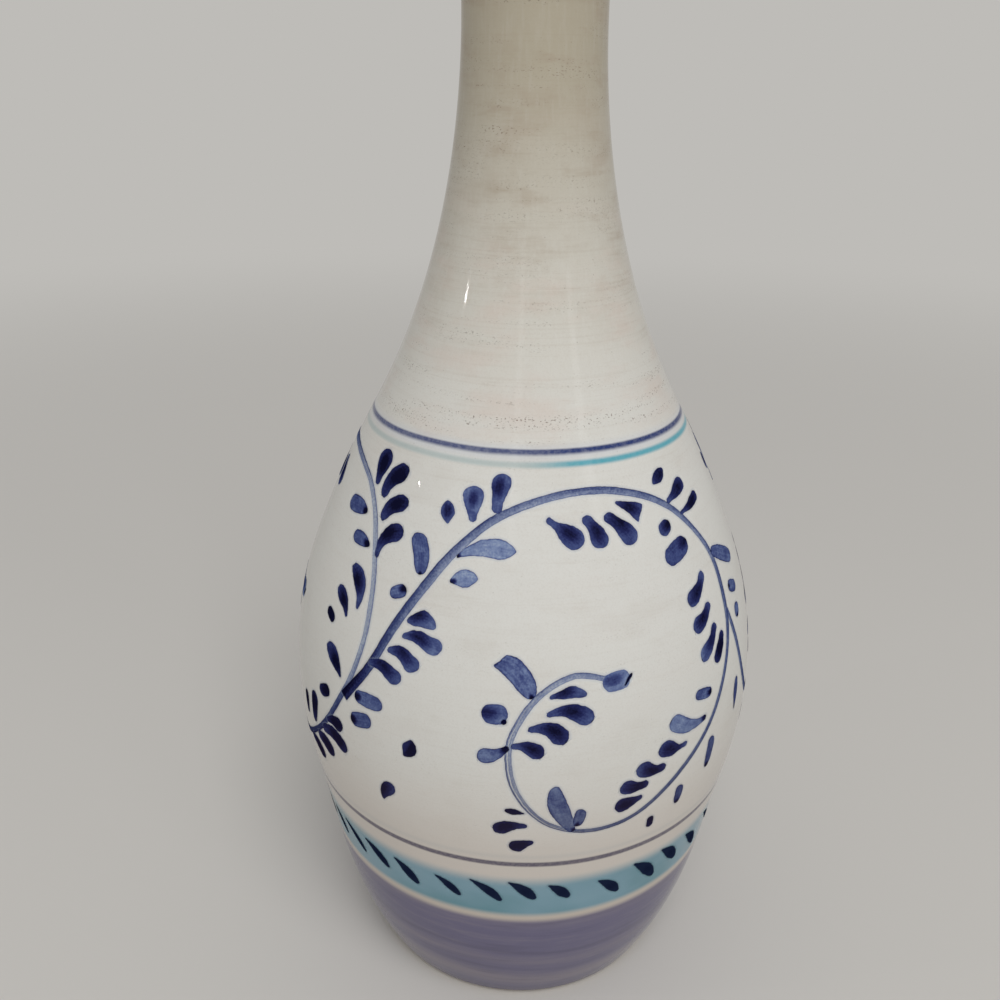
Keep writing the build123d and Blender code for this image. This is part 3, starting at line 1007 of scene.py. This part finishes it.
FRONT_DASHES = [
    (-54, 64, -45.5, 56.3, 3.2), (-44, 64, -36, 57, 4.2), (-33.2, 64, -26.5, 56.3, 4.3),
    (-21, 64, -14.5, 57.3, 3.4), (-11.7, 66, -3.9, 57.6, 3.6), (-2.2, 66.6, 4.6, 58.8, 4.0),
    (7.6, 65, 13.2, 58.4, 3.9), (20.5, 63.6, 27, 55.7, 3.7), (30.4, 66, 38.6, 55.4, 4.3),
    (39.5, 66.2, 47, 57, 4.3), (50, 64.3, 58, 54, 3.9),
]

# Dashes around the back: degrees from and to, then the least and most of their heights and width in
# millimetres and of their slant and spacing in degrees
DASH_SEED = 7
BACK_DASHES = (61, 300)
DASH_TOP = (63.3, 66)
DASH_FOOT = (55.3, 58)
DASH_WIDTH = (2.7, 3.8)
DASH_SLANT = (5.5, 8)
DASH_SPACING = (8.6, 10.8)

# Stems: degrees around, height and width in millimetres, depth of the pigment and how dry the brush was
MAIN_STEM = [
    (-43.6, 119.4, 3.3, 0.95, 0), (-39.6, 126.2, 3.0, 0.84, 0), (-35.9, 133.2, 2.7, 0.64, 0),
    (-30, 147.8, 2.7, 0.52, 0), (-22.9, 161, 2.7, 0.42, 0), (-17.5, 168.5, 2.5, 0.38, 0),
    (-9.9, 175.6, 2.3, 0.38, 0), (-1.1, 179.9, 2.2, 0.36, 0), (8.9, 182.5, 2.1, 0.36, 0),
    (18.9, 183.2, 2.1, 0.42, 0), (28.5, 182.1, 2.1, 0.42, 0), (39.1, 178.7, 2.0, 0.4, 0),
    (47.9, 173, 1.9, 0.4, 0), (55.2, 164.2, 1.8, 0.38, 0), (58.6, 156.5, 2.0, 0.44, 0),
    (59.1, 148, 2.1, 0.5, 0), (58.2, 136.3, 2.0, 0.46, 0), (54.4, 124.2, 1.8, 0.46, 0),
    (47.9, 111.1, 1.8, 0.44, 0), (39.1, 100.5, 1.8, 0.42, 0), (28.5, 90.9, 1.6, 0.4, 0),
    (20.1, 87.9, 1.5, 0.38, 0), (11.9, 88.8, 1.5, 0.34, 0.3), (4.8, 93.7, 1.6, 0.34, 0.6),
    (-0.5, 103.2, 1.9, 0.32, 1), (-2.4, 113.7, 2.0, 0.32, 1), (-1.4, 122.6, 1.9, 0.3, 0.5),
    (3.6, 132.6, 1.8, 0.3, 0.3), (11.3, 137.9, 1.7, 0.26, 0), (19, 136.1, 1.6, 0.32, 0),
]
LEFT_STEM = [
    (-79.1, 183.2, 2.1, 0.42, 0), (-69.5, 182.4, 2.0, 0.38, 0.3), (-60, 180.4, 1.9, 0.32, 0.4),
    (-53, 177.4, 1.9, 0.25, 0.3), (-47.2, 172, 1.9, 0.2, 0.3), (-43.5, 165.3, 1.9, 0.2, 0.2),
    (-40.3, 156, 1.9, 0.18, 0.2), (-38.9, 146, 1.9, 0.2, 0.2), (-39.3, 137, 1.8, 0.2, 0),
    (-41.7, 126.5, 1.8, 0.28, 0), (-45.5, 117, 1.9, 0.48, 0), (-50, 108, 1.9, 0.6, 0),
    (-56.5, 99, 1.9, 0.6, 0), (-66.5, 90.5, 1.9, 0.56, 0),
]
RIGHT_STEM = [
    (59.2, 141, 1.8, 0.4, 0), (61.5, 133, 1.9, 0.44, 0), (66, 117, 2.0, 0.46, 0), (72, 106, 2.2, 0.46, 0),
    (79, 104, 2.3, 0.46, 0), (85, 111, 2.4, 0.46, 0), (90, 126, 2.5, 0.46, 0), (94.5, 143, 2.6, 0.46, 0),
    (98.8, 157, 2.5, 0.46, 0), (103.2, 169, 2.4, 0.46, 0), (108.5, 178.5, 2.2, 0.46, 0),
]

# Points of the front stem after which its arch ends and its scroll starts
ARCH_END = 9
SCROLL_START = 21

# Where the front vine is repeated: degrees around, how much its spread is drawn in, and the limit past which
# its leaves are kept. On the stem to the right, the first leaves are turned round.
LEFT_TURN, LEFT_LIMIT = -98, -74
RIGHT_TURN, RIGHT_LIMIT = 100, 72
BACK_TURN = 176
DRAWN_IN = 0.78
TURNED_TURN, TURNED_DRAWN_IN = 116.4, 0.77
TURNED_LEAVES = STEM_LEAVES[:6] + ARCH_LEAVES[:1]
OTHER_LEAVES = STEM_LEAVES[7:8] + ARCH_LEAVES[2:] + RIGHT_LEAVES + SCROLL_LEAVES


def moved_stem(points, turn, squeeze):
    """The points of a stem, drawn closer together and moved around the vase."""
    return [(around * squeeze + turn, *rest) for around, *rest in points]


def everywhere(around):
    """Allows every place."""
    return True


def moved_leaves(leaves, turn, squeeze, allowed=everywhere, facing=1):
    """Leaves moved around the vase, where their place is allowed; facing -1 turns them round."""
    made = []
    for leaf in leaves:
        tip = leaf.tip_around * squeeze + turn
        middle = (leaf.tip_around + leaf.head_around) / 2 * squeeze + turn
        head = tip + (leaf.head_around - leaf.tip_around) * facing
        if allowed(middle):
            made.append(leaf._replace(tip_around=tip, head_around=head, bend=leaf.bend * facing))
    return made


def all_stems():
    """The stems all round in the order in which they are laid, with the front one over the others."""
    arch = moved_stem(MAIN_STEM[:ARCH_END], LEFT_TURN, 1)
    left = arch + LEFT_STEM + moved_stem(MAIN_STEM[SCROLL_START:], LEFT_TURN, 1)
    right = RIGHT_STEM + moved_stem(MAIN_STEM[ARCH_END:], RIGHT_TURN, DRAWN_IN)
    back = moved_stem(MAIN_STEM, BACK_TURN, DRAWN_IN)
    return [left, right, back, MAIN_STEM]


def all_leaves():
    """The leaves all round, those of the front as they are and the others moved from them."""
    own = STEM_LEAVES + ARCH_LEAVES + RIGHT_LEAVES + SCROLL_LEAVES
    left = moved_leaves(own, LEFT_TURN, 1, lambda around: around < LEFT_LIMIT)
    right = (moved_leaves(TURNED_LEAVES, TURNED_TURN, TURNED_DRAWN_IN, facing=-1)
             + moved_leaves(OTHER_LEAVES, RIGHT_TURN, DRAWN_IN, lambda around: around > RIGHT_LIMIT))
    back = moved_leaves(own, BACK_TURN, DRAWN_IN)
    return LEFT_SPRAYS + RIGHT_SPRAYS + own + left + right + back


def outline_at(outline, share):
    """Shares of half the width to the left and right at a share of the length."""
    inside = min(max(share, 0), 1)
    for (low, *first), (high, *second) in zip(outline, outline[1:]):
        if inside <= high:
            part = (inside - low) / (high - low)
            return Vector(first).lerp(Vector(second), part)


def leaf_path(profile, stroke):
    """Function of the share along a stroke: around, height, half widths left and right, shade and dryness."""
    tip_height, head_height = stroke.tip_height * MM, stroke.head_height * MM
    per_degree, per_height = profile.spread((tip_height + head_height) / 2)
    reach = Vector(((stroke.head_around - stroke.tip_around) * per_degree,
                    (head_height - tip_height) * per_height))
    side = Vector((-reach.y, reach.x))

    def path(share):
        inside = min(max(share, 0), 1)
        offset = reach * share + side * stroke.bend * 4 * inside * (1 - inside)
        around = stroke.tip_around + offset.x / per_degree
        outline = OUTLINES[stroke.outline]
        soften = min(SOFTENING, inside, 1 - inside)
        halves = outline_at(outline, share - soften) + outline_at(outline, share + soften)
        left, right = halves * stroke.width * MM / 4
        return around, tip_height + offset.y / per_height, left, right, stroke.shade, 0
    return path, reach.length


def stem_path(profile, points):
    """Function of the share along a stem, smooth through its points, like a leaf's path."""
    spans = len(points) - 1

    def path(share):
        at = min(max(share, 0), 1) * spans
        index = min(int(at), spans - 1)
        part = at - index
        p0, p1, p2, p3 = (points[min(max(index + shift, 0), spans)] for shift in (-1, 0, 1, 2))
        around, height, width, shade, dry = [
            b + part / 2 * (c - a + part * (2 * a - 5 * b + 4 * c - d + part * (3 * (b - c) + d - a)))
            for a, b, c, d in zip(p0, p1, p2, p3)]
        return around, height * MM, width * MM / 2, width * MM / 2, shade, dry

    steps = range(MEASURING_STEPS + 1)
    places = [profile.place(*path(step / MEASURING_STEPS)[:2], 0) for step in steps]
    return path, sum((end - start).length for start, end in zip(places, places[1:]))


def lay_brushwork(bm, profile, path, length, rows, ends, pool, cell):
    """Adds one pad of pigment along a path, a little wider than the stroke, with its shape in the mesh."""
    brush, rounding, pigment, pools, layout = (bm.verts.layers.float_vector[name] for name in BRUSH_LAYERS)
    shares = [-PAD_MARGIN / length, *rows, 1 + PAD_MARGIN / length]
    last = len(shares) - 1
    grid = bmesh.ops.create_grid(bm, x_segments=last, y_segments=2, size=1)
    for vert in grid["verts"]:
        share = shares[round((vert.co.x + 1) / 2 * last)]
        inside = min(max(share, 0), 1)
        around, height, left, right, shade, dry = path(inside)
        half = (left + right) / 2
        side = vert.co.y * (half + PAD_MARGIN)
        behind, ahead = path(inside - AIMING_STEP), path(inside + AIMING_STEP)
        per_degree, per_height = profile.spread(height)
        run = Vector(((ahead[0] - behind[0]) * per_degree, (ahead[1] - behind[1]) * per_height))
        run.normalize()
        square = Vector((-run.y, run.x))
        offset = run * (share - inside) * length + square * (side + (left - right) / 2)
        vert[brush] = (share * length / MM, side / MM, half / MM)
        vert[rounding] = (length / MM, *ends)
        vert[pigment] = (shade, dry, cell)
        vert[pools] = pool
        vert[layout] = (cell, (share - shares[0]) / (shares[-1] - shares[0]), (vert.co.y + 1) / 2)
        vert.co = profile.place(around + offset.x / per_degree, height + offset.y / per_height, -PAD_DEPTH)


def thicken(bm, profile, thickness):
    """Closes the pads: their faces are pulled out of the wall to stand a hair's breadth over the glaze."""
    pigment = bm.verts.layers.float_vector["pigment"]
    made = bmesh.ops.extrude_face_region(bm, geom=bm.faces[:])
    for vert in made["geom"]:
        if isinstance(vert, bmesh.types.BMVert):
            spot = vert.co
            lean = profile.lean_at(spot.z)
            around = atan2(spot.x, -spot.y)
            rise = thickness + vert[pigment].z % THICKNESS_STEPS * THICKNESS_STEP
            vert.co += Vector((sin(around) * cos(lean), -cos(around) * cos(lean), -sin(lean))) * rise
    bmesh.ops.recalc_face_normals(bm, faces=bm.faces)


def lay_out_pads(bm, columns, rows):
    """Bake layout of the pads: each fills a cell of its own."""
    layer = bm.loops.layers.uv.new("OFBake")
    layout = bm.verts.layers.float_vector["layout"]
    for face in bm.faces:
        for loop in face.loops:
            cell, along, side = loop.vert[layout]
            column, row = cell % columns, cell // columns
            across = column + CELL_EDGE_ALONG + (1 - 2 * CELL_EDGE_ALONG) * along
            up = row + CELL_EDGE_ACROSS + (1 - 2 * CELL_EDGE_ACROSS) * side
            loop[layer].uv = (across / columns, up / rows)
    bm.verts.layers.float_vector.remove(layout)


def new_brushwork():
    """An empty bmesh with the layers that hold a stroke's shape and pigment."""
    bm = bmesh.new()
    for name in BRUSH_LAYERS:
        bm.verts.layers.float_vector.new(name)
    return bm


def brushed_leaves(context, name, strokes, material):
    """A piece made of the pads of many strokes."""
    profile = Profile(context.scene.vase_form)
    bm = new_brushwork()
    for index, stroke in enumerate(strokes):
        path, length = leaf_path(profile, stroke)
        pool = (stroke.pool * length / MM, stroke.pool_side * stroke.width / 2, stroke.pool_radius)
        tip_half, head_half = (sum(path(end)[2:4]) / 2 / MM for end in (0, 1))
        chiselled = stroke.outline in CHISELLED
        ends = (tip_half, min(head_half, CHISEL_ROUNDING) if chiselled else head_half)
        lay_brushwork(bm, profile, path, length, LEAF_SHARES, ends, pool, index)
    thicken(bm, profile, LEAF_THICKNESS)
    columns = ceil(sqrt(len(strokes)))
    lay_out_pads(bm, columns, ceil(len(strokes) / columns))
    new_piece(context, bm, name, material).visible_shadow = False


# Operators

# How much taller the rows of the mesh are inside the vase and where the glaze hides them
INSIDE_ROWS = 2
HIDDEN_ROWS = 4


class VASE_OT_glazed_wall(bpy.types.Operator):
    """Throw the glazed outside, from the edge above the bare foot to the crown of the lip"""

    bl_idname = "vase.glazed_wall"
    bl_label = "Glazed wall"

    def execute(self, context):
        form = context.scene.vase_form
        profile = Profile(form)
        outside = profile.line(0, form.bare_height, form.row_height)
        clay_side = profile.line(profile.coat, form.bare_height, form.row_height * HIDDEN_ROWS)[::-1]
        bm = thrown(outside + profile.lip_edge(-profile.lip_lean) + clay_side[1:], form.wheel_steps)
        unroll(bm, form.overall_height)
        material = painted_glaze_finish(context.scene.glaze_colours)
        new_piece(context, bm, "glazed_wall", material, ["outer_glaze"])
        return {"FINISHED"}


class VASE_OT_liner_coat(bpy.types.Operator):
    """Throw the glaze inside, from the crown of the lip down the wall and over the floor"""

    bl_idname = "vase.liner_coat"
    bl_label = "Liner coat"

    def side(self, profile, depth, floor, corner, row_height):
        """Points of one side of the coat, from the axis on the floor up to the lip."""
        centre_height = floor + corner
        lean = profile.lean_at(centre_height, depth + corner)
        arc = profile.arc_at(centre_height)
        centre = arc.centre - inward(lean) * (arc.radius - depth - corner)
        rounded = profile.round_corner(centre, corner, -pi / 2, -lean, FLOOR_CORNER_ROWS)
        return [Vector((0, floor))] + rounded + profile.line(depth, rounded[-1].y, row_height)[1:]

    def execute(self, context):
        form = context.scene.vase_form
        profile = Profile(form)
        inside = self.side(profile, profile.cavity_depth, form.floor_height + profile.coat,
                           form.floor_corner - profile.coat, form.row_height * INSIDE_ROWS)
        outside = self.side(profile, profile.liner_depth, form.floor_height, form.floor_corner,
                            form.row_height * HIDDEN_ROWS)
        lip = profile.lip_edge(pi - profile.lip_lean)
        bm = thrown(inside + lip + outside[:-1][::-1], form.wheel_steps // 2)
        unroll(bm, form.overall_height)
        material = liner_finish(context.scene.glaze_colours)
        new_piece(context, bm, "liner_coat", material, ["liner_glaze"])
        return {"FINISHED"}


class VASE_OT_bare_clay(bpy.types.Operator):
    """Give the two thrown sections and the slip between them their clay"""

    bl_idname = "vase.bare_clay"
    bl_label = "Bare clay"

    def execute(self, context):
        colours = context.scene.glaze_colours
        clay = clay_finish("fired_clay", colours.clay, colours.clay_grain)
        slip = clay_finish("joining_slip", colours.joint_slip, colours.clay)
        for node, material in (("belly", clay), ("neck", clay), ("luting_slip", slip)):
            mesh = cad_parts[node].data
            mesh.materials.clear()
            mesh.materials.append(material)
        return {"FINISHED"}


class VASE_OT_vine_stems(bpy.types.Operator):
    """Brush the stems of the trailing vine around the belly"""

    bl_idname = "vase.vine_stems"
    bl_label = "Vine stems"

    def execute(self, context):
        profile = Profile(context.scene.vase_form)
        bm = new_brushwork()
        stems = all_stems()
        for index, points in enumerate(stems):
            path, length = stem_path(profile, points)
            last = ceil(length / STEM_ROW)
            rows = [row / last for row in range(last + 1)]
            ends = (STEM_ROUNDING, STEM_ROUNDING)
            lay_brushwork(bm, profile, path, length, rows, ends, NO_POOL, index)
        thicken(bm, profile, STEM_THICKNESS)
        lay_out_pads(bm, 1, len(stems))
        material = stem_finish(context.scene.glaze_colours)
        new_piece(context, bm, "vine_stems", material).visible_shadow = False
        return {"FINISHED"}


class VASE_OT_vine_leaves(bpy.types.Operator):
    """Brush the leaves of the vine: full ones with pooled heads and watery ones with dark tips"""

    bl_idname = "vase.vine_leaves"
    bl_label = "Vine leaves"

    def execute(self, context):
        colours = context.scene.glaze_colours
        leaves = all_leaves()
        full = [leaf for leaf in leaves if not leaf.watery]
        brushed_leaves(context, "dark_leaves", full, cobalt_finish("dark_cobalt", DARK_LOOK, colours))
        watery = [leaf for leaf in leaves if leaf.watery]
        brushed_leaves(context, "pale_leaves", watery, cobalt_finish("pale_cobalt", PALE_LOOK, colours))
        return {"FINISHED"}


class VASE_OT_band_dashes(bpy.types.Operator):
    """Brush the slanting dashes on the turquoise band"""

    bl_idname = "vase.band_dashes"
    bl_label = "Band dashes"

    def execute(self, context):
        chance = random.Random(DASH_SEED)
        dashes = list(FRONT_DASHES)
        around, end = BACK_DASHES
        while around < end:
            top, foot = chance.uniform(*DASH_TOP), chance.uniform(*DASH_FOOT)
            slant, width = chance.uniform(*DASH_SLANT), chance.uniform(*DASH_WIDTH)
            dashes.append((around, top, around + slant, foot, width))
            around += chance.uniform(*DASH_SPACING)
        strokes = [dark(*dash, bend=0.06, outline="dash", shade=0.74, pool=0.6, pool_radius=1.4)
                   for dash in dashes]
        brushed_leaves(context, "band_dashes", strokes, dash_finish(context.scene.glaze_colours))
        return {"FINISHED"}


# Stage: the lamps' places, widths and depths in metres, how far the floor reaches and where it fades, and
# the camera's lens, its place in millimetres and its turns in degrees
KEY_LAMP = ((0.5, -1.95, 2.55), 1.8, 1.8)
RIGHT_LAMP = ((1.05, -1.05, 1.3), 0.2, 1.1)
MIDDLE_LAMP = ((-0.2, -1.5, 1.3), 0.14, 1.1)
MIDDLE_SHARE = 0.6
GLINT_LAMP = ((-0.808, -0.281, 0.489), 0.02, 0.005)
FLOOR_REACH = 12
FLOOR_FADES = (0.3, 1.6)
CAMERA_LENS = 36
CAMERA_PLACE = (0, -297.55, 284.26)
CAMERA_TURNS = [(1.5514, "Z"), (67.233, "X"), (0.5817, "Z")]


class VASE_OT_stage(bpy.types.Operator):
    """Set up the pale floor, the soft lamps, the even light all around and the camera"""

    bl_idname = "vase.stage"
    bl_label = "Stage"

    def seen(self, finish):
        """1 for what the camera sees, directly or in gloss."""
        path = finish.node("ShaderNodeLightPath", {}, {}, "Is Camera Ray")
        outputs = path.socket.node.outputs
        return path + Value(finish, outputs["Is Glossy Ray"]) + Value(finish, outputs["Is Transmission Ray"])

    def floor(self, context):
        """A wide pale floor that runs into the backdrop far from the vase."""
        bm = bmesh.new()
        bmesh.ops.create_grid(bm, x_segments=1, y_segments=1, size=FLOOR_REACH)
        mesh = bpy.data.meshes.new("studio_floor")
        bm.to_mesh(mesh)
        bm.free()
        colours = context.scene.glaze_colours

        def varying(finish):
            tone = finish.noise(finish.object_place(), (3, 3, 3), 3)
            return {"Base Color": finish.mix(tone * 0.12, colours.floor, colours.backdrop),
                    "Roughness": 0.55 + tone * 0.1}
        material = new_finish("studio_floor", {}, varying)
        finish = Finish(material.node_tree)
        nodes = material.node_tree.nodes
        distance = finish.vector("LENGTH", finish.object_place(), output="Value")
        far = finish.step(distance, *FLOOR_FADES) * self.seen(finish)
        backdrop = finish.node("ShaderNodeEmission", {}, {"Color": colours.backdrop, "Strength": 1})
        near = Value(finish, nodes["Principled BSDF"].outputs[0])
        surface = finish.node("ShaderNodeMixShader", {}, {0: far, 1: near, 2: backdrop})
        finish.feed(nodes["Material Output"].inputs["Surface"], surface)
        mesh.materials.append(material)
        piece = bpy.data.objects.new("studio_floor", mesh)
        context.scene.collection.objects.link(piece)

    def lamp(self, context, name, place, width, depth, power, mirrored):
        """A rectangular lamp aimed at the belly, which the gloss shows or not."""
        data = bpy.data.lights.new(name, "AREA")
        data.shape = "RECTANGLE"
        data.size = width
        data.size_y = depth
        data.energy = power
        lamp = bpy.data.objects.new(name, data)
        target = Vector((0, 0, context.scene.vase_form.belly_height))
        lamp.location = place
        lamp.rotation_euler = (target - Vector(place)).to_track_quat("-Z", "Y").to_euler()
        lamp.visible_camera = False
        lamp.visible_glossy = mirrored
        context.scene.collection.objects.link(lamp)

    def sky(self, context):
        """Even light all around, and a pale backdrop for the camera and the gloss."""
        world = bpy.data.worlds.new("studio")
        world.use_nodes = True
        context.scene.world = world
        finish = Finish(world.node_tree)
        ground = world.node_tree.nodes["Background"]
        seen = self.seen(finish)
        level = context.scene.studio_setup.sky_level
        finish.feed(ground.inputs["Color"], finish.mix(seen, (1, 1, 1), context.scene.glaze_colours.backdrop))
        finish.feed(ground.inputs["Strength"], level + seen * (1 - level))

    def camera(self, context):
        """The camera, a little above the shoulder and looking down at the belly."""
        data = bpy.data.cameras.new("camera")
        data.lens = CAMERA_LENS
        data.sensor_width = CAMERA_LENS
        camera = bpy.data.objects.new("camera", data)
        aimed = Matrix.Translation(Vector(CAMERA_PLACE) * MM)
        for degrees, axis in CAMERA_TURNS:
            aimed = aimed @ Matrix.Rotation(radians(degrees), 4, axis)
        camera.matrix_world = aimed
        context.scene.collection.objects.link(camera)
        context.scene.camera = camera

    def execute(self, context):
        setup = context.scene.studio_setup
        self.floor(context)
        self.lamp(context, "key", *KEY_LAMP, setup.key_power, False)
        self.lamp(context, "right_strip", *RIGHT_LAMP, setup.strip_power, True)
        self.lamp(context, "middle_strip", *MIDDLE_LAMP, setup.strip_power * MIDDLE_SHARE, True)
        self.lamp(context, "glint", *GLINT_LAMP, setup.glint_power, True)
        self.sky(context)
        self.camera(context)
        context.scene.view_settings.view_transform = "Standard"
        return {"FINISHED"}


class VASE_PT_sidebar(bpy.types.Panel):
    """Sizes, colours and steps of the vase"""

    bl_idname = "VASE_PT_sidebar"
    bl_label = "Bottle vase"
    bl_space_type = "VIEW_3D"
    bl_region_type = "UI"
    bl_category = "Vase"

    def draw(self, context):
        scene = context.scene
        for group in (scene.vase_form, scene.glaze_colours, scene.studio_setup):
            box = self.layout.box()
            for name in group.__annotations__:
                box.prop(group, name)
        for step in STEPS:
            self.layout.operator(step.bl_idname)


STEPS = [VASE_OT_glazed_wall, VASE_OT_liner_coat, VASE_OT_bare_clay, VASE_OT_vine_stems,
         VASE_OT_vine_leaves, VASE_OT_band_dashes, VASE_OT_stage]
GROUPS = {"vase_form": VaseForm, "glaze_colours": GlazeColours, "studio_setup": StudioSetup}


def register():
    """Registers the classes and gives each scene its settings."""
    for made in (*GROUPS.values(), *STEPS, VASE_PT_sidebar):
        bpy.utils.register_class(made)
    for name, group in GROUPS.items():
        setattr(bpy.types.Scene, name, PointerProperty(type=group))


def unregister():
    """Takes the settings and classes away again."""
    for name in GROUPS:
        delattr(bpy.types.Scene, name)
    for made in (VASE_PT_sidebar, *STEPS[::-1], *GROUPS.values()):
        bpy.utils.unregister_class(made)


def main():
    """Dresses the vase step by step."""
    register()
    bpy.ops.vase.glazed_wall()
    bpy.ops.vase.liner_coat()
    bpy.ops.vase.bare_clay()
    bpy.ops.vase.vine_stems()
    bpy.ops.vase.vine_leaves()
    bpy.ops.vase.band_dashes()
    bpy.ops.vase.stage()


if __name__ == "__main__":
    main()
